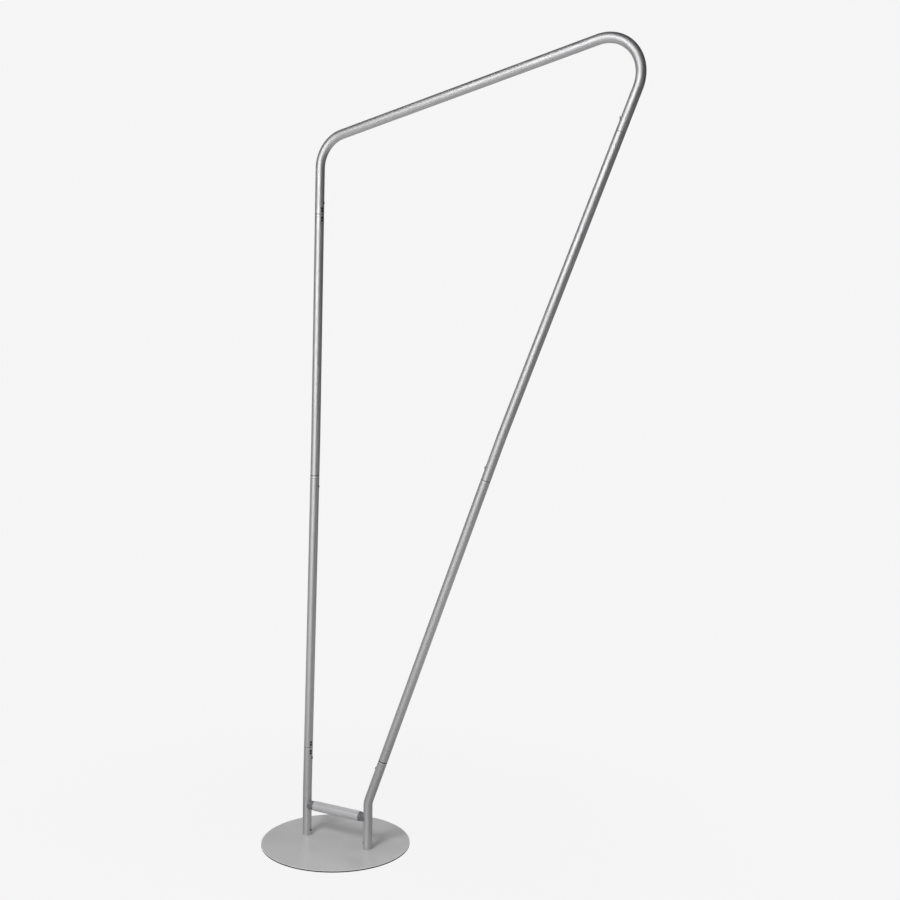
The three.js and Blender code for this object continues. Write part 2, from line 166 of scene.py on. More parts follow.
left_set_x = leaning(LEFT_FOOT_X, LEFT_BEND_Z, LEFT_SET_Z, LEFT_LEAN)
left_corner_x = leaning(left_set_x, LEFT_SET_Z, LEFT_CORNER_Z, LEFT_LEAN + LEFT_SET)
right_set_x = leaning(RIGHT_FOOT_X, RIGHT_BEND_Z, RIGHT_SET_Z, RIGHT_LEAN)
right_corner_x = leaning(right_set_x, RIGHT_SET_Z, RIGHT_CORNER_Z, RIGHT_LEAN + RIGHT_SET)
line = TubeLine([
    (LEFT_FOOT_X, FOOT_Z),
    (LEFT_FOOT_X, LEFT_BEND_Z, LEFT_BEND_R),
    (left_set_x, LEFT_SET_Z, SET_R),
    (left_corner_x, LEFT_CORNER_Z, LEFT_CORNER_R),
    (right_corner_x, RIGHT_CORNER_Z, RIGHT_CORNER_R),
    (right_set_x, RIGHT_SET_Z, SET_R),
    (RIGHT_FOOT_X, RIGHT_BEND_Z, RIGHT_BEND_R),
    (RIGHT_FOOT_X, FOOT_Z),
])
seams = {
    "left_lower": LEFT_POST_LENGTH,
    "left_middle": LEFT_POST_LENGTH + LEFT_LOWER_LENGTH,
    "left_upper": LEFT_POST_LENGTH + LEFT_LOWER_LENGTH + LEFT_UPPER_LENGTH,
    "right_upper": line.length - RIGHT_POST_LENGTH - RIGHT_LOWER_LENGTH - RIGHT_UPPER_LENGTH,
    "right_middle": line.length - RIGHT_POST_LENGTH - RIGHT_LOWER_LENGTH,
    "right_lower": line.length - RIGHT_POST_LENGTH,
}
# How strongly each seam's painted shade and painted highlight show.
seam_paint_strength = {"left_lower": 0.45, "left_middle": 1.0, "left_upper": 0.5,
                 "right_upper": 0.22, "right_middle": 0.5, "right_lower": 1.0}
button_side = {"left_lower": -1, "left_middle": -1, "left_upper": 1,
               "right_upper": -1, "right_middle": -1, "right_lower": 1}
print("tube line is %.3f m long" % line.length)


# %% [markdown]
# ## Making meshes
# A round piece is a ring of points swept round an axis, so most of this stand needs only one
# helper: it takes rings, joins each ring to the next with faces and writes UVs in metres.
# UVs in metres let every grain and scratch keep its real size on every piece.

# %% Rings to meshes
def mesh_from_rings(name, rings, loop=False, caps=True, round_lengths=None):
    """rings is a list of equal lists of points. round_lengths are the UV heights of the rings."""
    sides = len(rings[0])
    points = [p for ring in rings for p in ring]
    heights = round_lengths or [0.0] * len(rings)
    faces, uvs = [], []
    last = len(rings) if loop else len(rings) - 1
    for r in range(last):
        s = (r + 1) % len(rings)
        for i in range(sides):
            j = (i + 1) % sides
            faces.append((r * sides + i, r * sides + j, s * sides + j, s * sides + i))
            u0, u1 = i / sides, (i + 1) / sides
            uvs += [(u0, heights[r]), (u1, heights[r]), (u1, heights[s]), (u0, heights[s])]
    if not loop and caps:
        faces.append(tuple(reversed(range(sides))))
        faces.append(tuple(range(last * sides, (last + 1) * sides)))
        turns = [2 * math.pi * k / sides for k in range(2 * sides)]
        uvs += [(0.5 + 0.4 * math.cos(a), 0.4 * math.sin(a)) for a in turns]
    mesh = bpy.data.meshes.new(name)
    mesh.from_pydata([tuple(p) for p in points], [], faces)
    layer = mesh.uv_layers.new(name="metres")
    layer.data.foreach_set("uv", [c for uv in uvs for c in uv])
    piece = bpy.data.objects.new(name, mesh)
    scene.collection.objects.link(piece)
    return piece


def cut_with(piece, cutters):
    """Cuts the cutters out of the piece with an exact boolean, applied to the mesh."""
    for cutter in cutters:
        modifier = piece.modifiers.new("cut", "BOOLEAN")
        modifier.operation, modifier.solver, modifier.object = "DIFFERENCE", "EXACT", cutter
    graph = bpy.context.evaluated_depsgraph_get()
    shaped = bpy.data.meshes.new_from_object(piece.evaluated_get(graph))
    piece.modifiers.clear()
    piece.data = shaped
    for cutter in cutters:
        bpy.data.objects.remove(cutter)
    return piece


def smooth(piece, sharp_angle=38):
    """Smooth shading, with real edges kept sharp."""
    mesh = piece.data
    mesh.polygons.foreach_set("use_smooth", [True] * len(mesh.polygons))
    mesh.set_sharp_from_angle(angle=math.radians(sharp_angle))
    mesh.update()
    return piece


def supported(profile, close=0.0004, loop=False):
    """Adds a point near both ends of each long flat, so that a rounded corner shades alone."""
    steps = []
    last = len(profile) if loop else len(profile) - 1
    for k in range(last):
        a, b = Vector(profile[k]), Vector(profile[(k + 1) % len(profile)])
        steps.append(a)
        if (b - a).length > 4 * close:
            nudge = (b - a).normalized() * close
            steps += [a + nudge, b - nudge]
    if not loop:
        steps.append(Vector(profile[-1]))
    return steps


def turned(name, profile, sides=64, loop=False):
    """A lathe-turned piece about Z from (radius, height) pairs. Open ends get flat caps."""
    profile = supported(profile, loop=loop)
    rings, heights, run = [], [], 0.0
    for k, (radius, z) in enumerate(profile):
        if k:
            run += math.dist(profile[k - 1], profile[k])
        heights.append(run)
        rings.append([Vector((radius * math.cos(2 * math.pi * i / sides),
                              radius * math.sin(2 * math.pi * i / sides), z))
                      for i in range(sides)])
    return mesh_from_rings(name, rings, loop=loop, round_lengths=heights)


AXIS_R = 0.0005  # an end on the axis is drawn as a tiny cap of this radius


def rod(radius, z0, z1, sides=40):
    return turned("cutter", [(radius, z0), (radius, z1)], sides)


def place(piece, matrix):
    piece.data.transform(matrix)
    return piece


def frame_at(point, along, inward):
    """+Z follows the tube and +X looks into the frame's window."""
    across = along.cross(inward)
    turn = Matrix((inward, across, along)).transposed().to_4x4()
    return Matrix.Translation(point) @ turn


def window_side(tangent):
    return Vector((tangent.z, 0, -tangent.x))


# %% [markdown]
# ## Shared surface effects
# Four effects come back on many of the finishes, so each is a node group, built once.
# Drawn grain: fine lines along a tube, as a die leaves them.
# Handling: soft cloudy patches where hands and cloth have polished or dulled a surface.
# Seam shading: painted shade in the gap of a seam and in a faint line below it, and a painted
# highlight on a ring just below the gap.
# Worn edge: a mask that brightens outer corners, where a coating or a bright cut edge shows.

# %% Node helpers
def new_group(name, inputs, outputs):
    group = bpy.data.node_groups.new(name, "ShaderNodeTree")
    for label, kind, value in inputs:
        socket = group.interface.new_socket(name=label, in_out="INPUT", socket_type=kind)
        if value is not None:
            socket.default_value = value
    for label, kind in outputs:
        group.interface.new_socket(name=label, in_out="OUTPUT", socket_type=kind)
    return group, group.nodes.new("NodeGroupInput"), group.nodes.new("NodeGroupOutput")


def add(tree, kind, **settings):
    """A node with its properties and socket values. A value that is a socket is linked."""
    node = tree.nodes.new(kind)
    for key, value in settings.items():
        if hasattr(node, key) and not key.startswith("in_"):
            setattr(node, key, value)
            continue
        label = key[3:].replace("_", " ")
        socket = node.inputs[int(label)] if label.isdigit() else node.inputs[label]
        if isinstance(value, bpy.types.NodeSocket):
            tree.links.new(value, socket)
        else:
            socket.default_value = value
    return node


def maths(tree, operation, a, b=0.0, clamp=False):
    node = add(tree, "ShaderNodeMath", operation=operation, use_clamp=clamp, in_0=a, in_1=b)
    return node.outputs[0]


def times(tree, a, b):
    return maths(tree, "MULTIPLY", a, b)


def ramp(tree, value, low, high, to_low=0.0, to_high=1.0):
    node = add(tree, "ShaderNodeMapRange", in_Value=value, in_From_Min=low, in_From_Max=high,
               in_To_Min=to_low, in_To_Max=to_high)
    return node.outputs[0]


def colour_mix(tree, factor, a, b):
    node = tree.nodes.new("ShaderNodeMix")
    node.data_type = "RGBA"
    for socket, value in zip((node.inputs[0], node.inputs[6], node.inputs[7]), (factor, a, b)):
        if isinstance(value, bpy.types.NodeSocket):
            tree.links.new(value, socket)
        else:
            socket.default_value = value
    return node.outputs[2]


# %% Drawn grain
def drawn_grain():
    group, inside, outside = new_group(
        "drawn_grain",
        [("Across", "NodeSocketFloat", 90.0), ("Along", "NodeSocketFloat", 6.0)],
        [("Lines", "NodeSocketFloat"), ("Bands", "NodeSocketFloat")])
    uv = add(group, "ShaderNodeUVMap", uv_map="metres")
    parts = add(group, "ShaderNodeSeparateXYZ", in_0=uv.outputs[0])
    ring = times(group, parts.outputs[0], 2 * math.pi)
    around = add(group, "ShaderNodeCombineXYZ", in_0=maths(group, "COSINE", ring),
                 in_1=maths(group, "SINE", ring), in_2=0.0)
    fine = add(group, "ShaderNodeVectorMath", operation="SCALE", in_0=around.outputs[0])
    group.links.new(inside.outputs["Across"], fine.inputs["Scale"])
    length = times(group, parts.outputs[1], inside.outputs["Along"])
    lift = add(group, "ShaderNodeCombineXYZ", in_2=length)
    spot = add(group, "ShaderNodeVectorMath", operation="ADD",
               in_0=fine.outputs[0], in_1=lift.outputs[0])
    lines = add(group, "ShaderNodeTexNoise", in_Vector=spot.outputs[0], in_Scale=1.0,
                in_Detail=3.0, in_Roughness=0.6)
    wide = add(group, "ShaderNodeVectorMath", operation="SCALE", in_0=spot.outputs[0],
               in_Scale=0.07)
    bands = add(group, "ShaderNodeTexNoise", in_Vector=wide.outputs[0], in_Scale=1.0,
                in_Detail=2.0)
    group.links.new(lines.outputs[0], outside.inputs["Lines"])
    group.links.new(bands.outputs[0], outside.inputs["Bands"])
    return group


# %% Handling marks and worn edges
def handling():
    group, inside, outside = new_group(
        "handling",
        [("Size", "NodeSocketFloat", 0.06), ("Fine Size", "NodeSocketFloat", 0.0015)],
        [("Patches", "NodeSocketFloat"), ("Specks", "NodeSocketFloat"),
         ("Scratches", "NodeSocketFloat")])
    spot = add(group, "ShaderNodeTexCoord").outputs["Object"]
    big = maths(group, "DIVIDE", 1.0, inside.outputs["Size"])
    small = maths(group, "DIVIDE", 1.0, inside.outputs["Fine Size"])
    patches = add(group, "ShaderNodeTexNoise", in_Vector=spot, in_Scale=big, in_Detail=4.0,
                  in_Distortion=0.6)
    specks = add(group, "ShaderNodeTexNoise", in_Vector=spot, in_Scale=small, in_Detail=2.0)
    warp = add(group, "ShaderNodeTexVoronoi", feature="DISTANCE_TO_EDGE", in_Vector=spot,
               in_Scale=times(group, big, 2.2), in_Randomness=1.0)
    lines = ramp(group, warp.outputs[0], 0.0, 0.012, 1.0, 0.0)
    broken = ramp(group, specks.outputs[0], 0.50, 0.62)
    rare = ramp(group, patches.outputs[0], 0.50, 0.62)
    scratches = times(group, times(group, lines, broken), rare)
    group.links.new(patches.outputs[0], outside.inputs["Patches"])
    group.links.new(specks.outputs[0], outside.inputs["Specks"])
    group.links.new(scratches, outside.inputs["Scratches"])
    return group


# Distances from a seam: painted shade in its gap, a painted highlight ring below it, and a faint
# painted shade line below that.
PAINTED_SHADE_FADE = (0.0009, 0.0022)
PAINTED_HIGHLIGHT_STARTS = (0.0015, 0.0030)
PAINTED_HIGHLIGHT_ENDS = (0.0055, 0.0080)
PAINTED_SHADE_LINE = 0.0085
PAINTED_SHADE_LINE_FADE = (0.0004, 0.0014)


def seam_painted_shading():
    """Painted shade in the gap of one seam and in a faint line below it, and a painted highlight
    on the ring just below the gap.
    """
    group, inside, outside = new_group(
        "seam_painted_shading", [("Seam", "NodeSocketFloat", 0.0), ("Below", "NodeSocketFloat", 1.0),
                      ("Strength", "NodeSocketFloat", 1.0)],
        [("Painted Shade", "NodeSocketFloat"), ("Painted Highlight", "NodeSocketFloat")])
    uv = add(group, "ShaderNodeUVMap", uv_map="metres")
    along = add(group, "ShaderNodeSeparateXYZ", in_0=uv.outputs[0]).outputs[1]
    away = maths(group, "SUBTRACT", along, inside.outputs["Seam"])
    below = times(group, away, inside.outputs["Below"])
    near = maths(group, "ABSOLUTE", away)
    painted_shade = ramp(group, near, *PAINTED_SHADE_FADE, 1.0, 0.0)
    off_line = maths(group, "ABSOLUTE", maths(group, "SUBTRACT", below, PAINTED_SHADE_LINE))
    shade_line = ramp(group, off_line, *PAINTED_SHADE_LINE_FADE, 0.35, 0.0)
    painted_highlight = times(group, ramp(group, below, *PAINTED_HIGHLIGHT_STARTS),
                ramp(group, below, *PAINTED_HIGHLIGHT_ENDS, 1.0, 0.0))
    strength = inside.outputs["Strength"]
    dark = maths(group, "MAXIMUM", painted_shade, shade_line)
    group.links.new(times(group, dark, strength), outside.inputs["Painted Shade"])
    group.links.new(times(group, painted_highlight, strength), outside.inputs["Painted Highlight"])
    return group


def worn_edge():
    group, inside, outside = new_group(
        "worn_edge", [("Start", "NodeSocketFloat", 0.52), ("Full", "NodeSocketFloat", 0.60)],
        [("Edge", "NodeSocketFloat")])
    geometry = add(group, "ShaderNodeNewGeometry")
    spot = add(group, "ShaderNodeTexCoord").outputs["Object"]
    chips = add(group, "ShaderNodeTexNoise", in_Vector=spot, in_Scale=260.0, in_Detail=3.0)
    sharp = maths(group, "SUBTRACT", geometry.outputs["Pointiness"], inside.outputs["Start"])
    span = maths(group, "SUBTRACT", inside.outputs["Full"], inside.outputs["Start"])
    edge = maths(group, "DIVIDE", sharp, span, clamp=True)
    broken = ramp(group, chips.outputs[0], 0.38, 0.62, 0.35, 1.0)
    group.links.new(times(group, edge, broken), outside.inputs["Edge"])
    return group


GRAIN, HANDLING, EDGE, SEAM_SHADING = drawn_grain(), handling(), worn_edge(), seam_painted_shading()
print("groups", [g.name for g in bpy.data.node_groups])


# %% [markdown]
# ## Finishes
# Each finish is one Principled shader. Values that are the same all over stay on the shader's
# own sockets. Only what changes over the surface, such as colour, roughness and the normal,
# comes from the effects.

# %% Start a finish
def grey(value, blue=0.01):
    return (value, value, value + blue, 1)


def finish(name, metallic, **fixed):
    material = bpy.data.materials.new(name)
    material.use_nodes = True
    tree = material.node_tree
    shader = tree.nodes["Principled BSDF"]
    shader.inputs["Metallic"].default_value = metallic
    for label, value in fixed.items():
        shader.inputs[label.replace("_", " ")].default_value = value
    return material, tree, shader


def use(tree, group, **values):
    node = tree.nodes.new("ShaderNodeGroup")
    node.node_tree = group
    for label, value in values.items():
        node.inputs[label.replace("_", " ")].default_value = value
    return node.outputs


def set_surface(tree, shader, colour, roughness, height, strength, distance):
    tree.links.new(colour, shader.inputs["Base Color"])
    tree.links.new(roughness, shader.inputs["Roughness"])
    bump = add(tree, "ShaderNodeBump", in_Strength=strength, in_Distance=distance,
               in_Height=height)
    tree.links.new(bump.outputs[0], shader.inputs["Normal"])


# %% Drawn tube
def tube_finish(name, dark, light, rough_low, rough_high, metallic=1.0, with_seams=False):
    """Satin drawn aluminium: fine lines along the tube, soft bands and handling patches."""
    material, tree, shader = finish(name, metallic)
    grain = use(tree, GRAIN, Across=90.0, Along=6.0)
    marks = use(tree, HANDLING, Size=0.11, Fine_Size=0.0009)
    worn = use(tree, EDGE, Start=0.53, Full=0.62)
    tone = maths(tree, "ADD", times(tree, grain["Lines"], 0.55),
                 times(tree, grain["Bands"], 0.45))
    colour = colour_mix(tree, ramp(tree, tone, 0.35, 0.65), dark, light)
    colour = colour_mix(tree, times(tree, marks["Scratches"], 0.35), colour, grey(0.86))
    colour = colour_mix(tree, times(tree, worn["Edge"], 0.6), colour, grey(0.92))
    # Each seam gets painted shade in its gap and in a faint line below, and a painted highlight
    # ring just below the gap.
    for seam in seams if with_seams else []:
        ring = use(tree, SEAM_SHADING, Seam=seams[seam], Below=-1.0 if "left" in seam else 1.0,
                   Strength=seam_paint_strength[seam])
        colour = colour_mix(tree, times(tree, ring["Painted Highlight"], 0.75), colour, grey(0.88, 0.005))
        colour = colour_mix(tree, times(tree, ring["Painted Shade"], 0.85), colour, grey(0.06, 0.002))
    cloud = ramp(tree, marks["Patches"], 0.35, 0.65, rough_low, rough_high)
    roughness = maths(tree, "ADD", cloud, ramp(tree, grain["Lines"], 0.3, 0.7, -0.02, 0.03))
    height = maths(tree, "ADD", grain["Lines"], times(tree, marks["Scratches"], -0.8))
    set_surface(tree, shader, colour, roughness, height, 0.03, 0.0002)
    return material


# %% Powder coat
# Heights on the rim's side: below the first it is painted shade, above the second a painted
# highlight.
RIM_SHADE_TO = 0.0040
RIM_HIGHLIGHT_FROM = 0.0046


def plate_finish():
    """Smooth grey powder coat: a very fine orange-peel skin over steel, rubbed at the rim, with
    painted shade on the rim's lower side and a painted highlight above it.
    """
    material, tree, shader = finish("plate_powder_coat", 0.0, Coat_Weight=0.25,
                                    Coat_Roughness=0.18)
    marks = use(tree, HANDLING, Size=0.16, Fine_Size=0.0012)
    worn = use(tree, EDGE, Start=0.52, Full=0.58)
    spot = add(tree, "ShaderNodeTexCoord").outputs["Object"]
    peel = add(tree, "ShaderNodeTexNoise", in_Vector=spot, in_Scale=420.0, in_Detail=2.0)
    colour = colour_mix(tree, ramp(tree, marks["Patches"], 0.3, 0.7),
                        grey(0.480, 0.006), grey(0.514, 0.005))
    colour = colour_mix(tree, ramp(tree, marks["Specks"], 0.60, 0.72, 0.0, 0.25), colour,
                        grey(0.24))
    colour = colour_mix(tree, times(tree, marks["Scratches"], 0.25), colour, grey(0.50))
    colour = colour_mix(tree, times(tree, worn["Edge"], 0.55), colour, grey(0.55))
    parts = add(tree, "ShaderNodeSeparateXYZ", in_0=spot)
    out = add(tree, "ShaderNodeVectorMath", operation="LENGTH", in_0=spot).outputs["Value"]
    height = parts.outputs[2]
    # Painted shade on the lower side of the rim, nearly black, and a pale painted highlight on its
    # rounded top edge.
    painted_shade_side = times(tree, ramp(tree, height, RIM_SHADE_TO, RIM_HIGHLIGHT_FROM, 1.0, 0.0),
                     ramp(tree, out, PLATE_R - 0.0018, PLATE_R - 0.0008))
    painted_highlight_rim = times(tree, ramp(tree, height, RIM_SHADE_TO, RIM_HIGHLIGHT_FROM),
                      ramp(tree, out, PLATE_R - 0.0030, PLATE_R - 0.0014))
    colour = colour_mix(tree, times(tree, painted_highlight_rim, 0.8), colour, grey(0.72, 0.005))
    colour = colour_mix(tree, times(tree, painted_shade_side, 0.97), colour, grey(0.012, 0.001))
    roughness = ramp(tree, marks["Patches"], 0.3, 0.7, 0.34, 0.46)
    skin = maths(tree, "ADD", peel.outputs[0], times(tree, marks["Specks"], 0.4))
    set_surface(tree, shader, colour, roughness, skin, 0.18, 0.0002)
    return material


# %% Moulded saddle
def saddle_finish():
    """Dark moulded nylon with a spark-eroded texture and paler rubbed ribs."""
    material, tree, shader = finish("saddle_nylon", 0.0)
    marks = use(tree, HANDLING, Size=0.007, Fine_Size=0.0006)
    worn = use(tree, EDGE, Start=0.52, Full=0.60)
    colour = colour_mix(tree, ramp(tree, marks["Patches"], 0.35, 0.65),
                        grey(0.085, 0.005), grey(0.200, 0.007))
    colour = colour_mix(tree, times(tree, worn["Edge"], 0.5), colour, grey(0.26))
    roughness = ramp(tree, marks["Specks"], 0.3, 0.7, 0.42, 0.62)
    set_surface(tree, shader, colour, roughness, marks["Specks"], 0.4, 0.0003)
    return material


# %% Small metal pieces
def metal_finish(name, dark, light, rough_low, rough_high, size):
    """Plain, polished or blued metal with small-scale mottling and bright worn corners."""
    material, tree, shader = finish(name, 1.0)
    marks = use(tree, HANDLING, Size=size, Fine_Size=0.0004)
    worn = use(tree, EDGE, Start=0.52, Full=0.62)
    colour = colour_mix(tree, ramp(tree, marks["Patches"], 0.35, 0.65), dark, light)
    colour = colour_mix(tree, times(tree, worn["Edge"], 0.5), colour, grey(0.80))
    roughness = ramp(tree, marks["Patches"], 0.3, 0.7, rough_low, rough_high)
    set_surface(tree, shader, colour, roughness, marks["Specks"], 0.10, 0.0001)
    return material


def ink_finish():
    """Black screen ink, thin and a little patchy where the sleeve has rubbed it."""
    material, tree, shader = finish("mark_ink", 0.0)
    marks = use(tree, HANDLING, Size=0.006, Fine_Size=0.0005)
    colour = colour_mix(tree, ramp(tree, marks["Specks"], 0.35, 0.75),
                        grey(0.004, 0), grey(0.02, 0.001))
    roughness = ramp(tree, marks["Patches"], 0.3, 0.7, 0.45, 0.65)
    set_surface(tree, shader, colour, roughness, marks["Specks"], 0.1, 0.0001)
    return material


TUBE = tube_finish("tube_satin", grey(0.64), grey(0.685), 0.53, 0.60,
                   with_seams=True)
CROSSBAR = tube_finish("crossbar_lacquer", grey(0.50), grey(0.58),
                       0.36, 0.44, metallic=0.35)
SPIGOT = tube_finish("spigot_mill", grey(0.42), grey(0.55), 0.40, 0.52)
PLATE = plate_finish()
SADDLE = saddle_finish()
STEEL = metal_finish("turned_steel", grey(0.34), grey(0.46),
                     0.30, 0.48, 0.02)
# The buttons' dark grey is partly painted shade: darker than polished steel would be, to show them
# as on their shaded side.
POLISHED = metal_finish("polished_button", grey(0.16), grey(0.26),
                        0.24, 0.36, 0.004)
BLUED = metal_finish("blued_strip", (0.09, 0.10, 0.12, 1), (0.17, 0.18, 0.21, 1),
                     0.28, 0.42, 0.012)
INK = ink_finish()
print("finishes", len(bpy.data.materials))


def settle(piece, material, slot, body, *nodes):
    """Finish, slot (not used), body and the model's nodes that the piece stands for."""
    piece.data.materials.clear()
    piece.data.materials.append(material)
    if body:
        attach(piece, body)
    if nodes:
        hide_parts(*nodes)
    return piece


# %% [markdown]
# ## The tubes
# A real tube is a wall with a bore, and its sawn ends are deburred, so they catch a thin ring
# of light at each seam. The rings run up the outside, over a rounded lip, back down the bore
# and over the other lip, which closes the mesh on itself. The button holes are then cut
# through the wall on the side that faces the frame's window.

# %% Build the seven tubes
LIP = 0.00055
LIP_STEPS = 4
TUBE_SIDES = 64
HOLE_R = 0.00425
SADDLE_HOLE_R = 0.0033
half = SEAM_GAP / 2


def ring_at(distance, radius):
    point, tangent = line.at(distance)
    side = window_side(tangent)
    return [point + side * (radius * math.cos(2 * math.pi * i / TUBE_SIDES))
            + Vector((0, radius * math.sin(2 * math.pi * i / TUBE_SIDES), 0))
            for i in range(TUBE_SIDES)]


def quarter(steps):
    """A rounded corner of radius 1: how far each point is from the face ahead and behind."""
    turns = [math.pi / 2 * k / steps for k in range(steps + 1)]
    return [(1 - math.sin(a), 1 - math.cos(a)) for a in turns]


def lip(end, direction):
    """Distances and radii over the rounded end of the wall, from outside to bore."""
    steps = [(end - direction * LIP * ahead, TUBE_R - LIP * behind)
             for ahead, behind in quarter(LIP_STEPS)]
    steps += [(end - direction * LIP * behind, TUBE_BORE_R + LIP * ahead)
              for ahead, behind in quarter(LIP_STEPS)]
    return steps


def tube(name, low, high, holes):
    inner = line.stations(low + LIP, high - LIP, 0.035, 0.25)
    walk = [(s, TUBE_R) for s in inner]
    walk += lip(high, 1)
    walk += [(s, TUBE_BORE_R) for s in reversed(inner)]
    walk += list(reversed(lip(low, -1)))
    tidy = [walk[0]]
    for step in walk[1:]:
        if math.dist(step, tidy[-1]) > 1e-5:
            tidy.append(step)
    if math.dist(tidy[0], tidy[-1]) < 1e-5:
        tidy.pop()
    tidy = supported(tidy, loop=True)
    piece = mesh_from_rings(name, [ring_at(s, r) for s, r in tidy], loop=True,
                            round_lengths=[s for s, _ in tidy])
    cutters = []
    for point, direction, radius in holes:
        turn = Vector((0, 0, 1)).rotation_difference(direction).to_matrix().to_4x4()
        cutters.append(place(rod(radius, 0.004, 0.024), Matrix.Translation(point) @ turn))
    if cutters:
        cut_with(piece, cutters)
    return smooth(piece)


saddle_mid = (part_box("crossbar_tube")[0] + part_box("crossbar_tube")[1]) / 2
CROSSBAR_Z = saddle_mid.z
feet = {"left_peg": (LEFT_FOOT_X, 1), "right_peg": (RIGHT_FOOT_X, -1)}


def foot_holes(foot):
    x, side = feet[foot]
    inward = Vector((side, 0, 0))
    return [(Vector((x, 0, FOOT_Z + PEG_BUTTON_UP)), inward, HOLE_R),
            (Vector((x, 0, CROSSBAR_Z)), inward, SADDLE_HOLE_R)]


def lock_holes(low, high):
    found = []
    for joint, side in button_side.items():
        s = seams[joint] + side * BUTTON_FROM_SEAM
        if low < s < high:
            point, tangent = line.at(s)
            found.append((point, window_side(tangent), HOLE_R))
    return found


lengths = [
    ("left_post", 0.0, seams["left_lower"] - half, foot_holes("left_peg")),
    ("left_lower_tube", seams["left_lower"] + half, seams["left_middle"] - half, []),
    ("left_upper_tube", seams["left_middle"] + half, seams["left_upper"] - half, []),
    ("top_bow", seams["left_upper"] + half, seams["right_upper"] - half, []),
    ("right_upper_tube", seams["right_upper"] + half, seams["right_middle"] - half, []),
    ("right_lower_tube", seams["right_middle"] + half, seams["right_lower"] - half, []),
    ("right_post", seams["right_lower"] + half, line.length, foot_holes("right_peg")),
]
for node, low, high, extra in lengths:
    piece = tube("fine_" + node, low, high, lock_holes(low, high) + extra)
    settle(piece, TUBE, "tube_finish", "root", node)
    print(node, "%.3f m" % (high - low), len(piece.data.polygons), "faces")

# %% [markdown]
# ## The base plate
# A laser-cut disc of 5 mm steel, tumbled so that its rim is slightly round, then powder
# coated. It is turned from a half profile whose corners are small arcs. The pale line along the
# rim is a painted highlight and the dark side below it is painted shade, both in the finish.
# Two countersunk holes underneath take the peg screws.

# %% Build the plate
RIM_ROUND = 0.0011
PEG_SCREW_HEAD_R = 0.0095
PEG_SCREW_R = 0.005
PEG_SCREW_HEAD_T = 0.0036
CLEAR = 0.0003


def rounded_rim(radius, thickness, corner, steps=5):
    profile = [(radius * f, 0.0) for f in (0.0008, 0.4, 0.8, 0.97)]
    profile += [(radius - corner * ahead, corner * behind) for ahead, behind in quarter(steps)]
    profile += [(radius - corner * behind, thickness - corner * ahead)
                for ahead, behind in quarter(steps)]
    return profile + [(radius * f, thickness) for f in (0.97, 0.8, 0.4, 0.0008)]


plate = turned("fine_base_plate", rounded_rim(PLATE_R, PLATE_TOP, RIM_ROUND), 256)
sinks = []
for x, _ in feet.values():
    sink = turned("cutter", [(PEG_SCREW_HEAD_R + CLEAR, -0.001),
                             (PEG_SCREW_HEAD_R + CLEAR, CLEAR),
                             (PEG_SCREW_R + CLEAR, PEG_SCREW_HEAD_T + CLEAR),
                             (PEG_SCREW_R + CLEAR, PLATE_TOP + 0.001)], 48)
    sinks.append(place(sink, Matrix.Translation((x, 0, 0))))
cut_with(plate, sinks)
smooth(plate, 30)
settle(plate, PLATE, "plate_finish", "root", "base_plate")
print("plate %.0f mm across" % (2000 * PLATE_R))

# %% [markdown]
# ## Pegs and their screws
# Each peg is a turned steel cup that stands on the plate, held from below by a countersunk
# socket screw. The cup has a small lead-in at its top so that the post drops over it easily.

# %% Build the pegs and screws
PEG_R = 0.013
PEG_BORE_R = 0.0105
BREAK = 0.0004  # how far a turned corner is broken
PEG_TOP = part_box("left_peg")[1].z
PEG_FLOOR = FOOT_Z + 0.009
SCREW_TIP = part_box("left_peg_screw")[1].z
PEG_SOCKET_R = 0.003
PEG_SOCKET_DEEP = 0.0024


def peg(name, x, side):
    inside = FOOT_Z + 0.008
    body = turned(name, [
        (AXIS_R, inside), (PEG_SCREW_R + CLEAR, inside), (PEG_SCREW_R + CLEAR, FOOT_Z),
        (PEG_R - BREAK, FOOT_Z), (PEG_R, FOOT_Z + BREAK), (PEG_R, PEG_TOP - 0.0020),
        (PEG_R - BREAK, PEG_TOP - 0.0012), (PEG_R - 0.0018, PEG_TOP), (PEG_BORE_R, PEG_TOP),
        (PEG_BORE_R, PEG_FLOOR + 0.001), (PEG_BORE_R - 0.001, PEG_FLOOR), (AXIS_R, PEG_FLOOR),
    ])
    place(body, Matrix.Translation((x, 0, 0)))
    turn = Vector((0, 0, 1)).rotation_difference(Vector((side, 0, 0))).to_matrix().to_4x4()
    hole = place(rod(HOLE_R, 0.004, 0.02),
                 Matrix.Translation((x, 0, FOOT_Z + PEG_BUTTON_UP)) @ turn)
    return smooth(cut_with(body, [hole]))


def peg_screw(name, x):
    body = turned(name, [
        (AXIS_R, CLEAR), (PEG_SCREW_HEAD_R - 0.0003, CLEAR), (PEG_SCREW_HEAD_R, CLEAR + 0.0002),
        (PEG_SCREW_R, PEG_SCREW_HEAD_T), (PEG_SCREW_R, SCREW_TIP - 0.001),
        (PEG_SCREW_R - 0.001, SCREW_TIP), (AXIS_R, SCREW_TIP),
    ], 48)
    socket = turned("cutter", [(PEG_SOCKET_R, -0.001), (PEG_SOCKET_R, CLEAR + PEG_SOCKET_DEEP)], 6)
    return smooth(place(cut_with(body, [socket]), Matrix.Translation((x, 0, 0))))


for node, (x, side) in feet.items():
    settle(peg("fine_" + node, x, side), STEEL, "steel", "root", node)
    screw = peg_screw("fine_" + node + "_screw", x)
    settle(screw, STEEL, "steel", "root", node + "_screw")
print("pegs reach %.0f mm up" % (1000 * PEG_TOP))

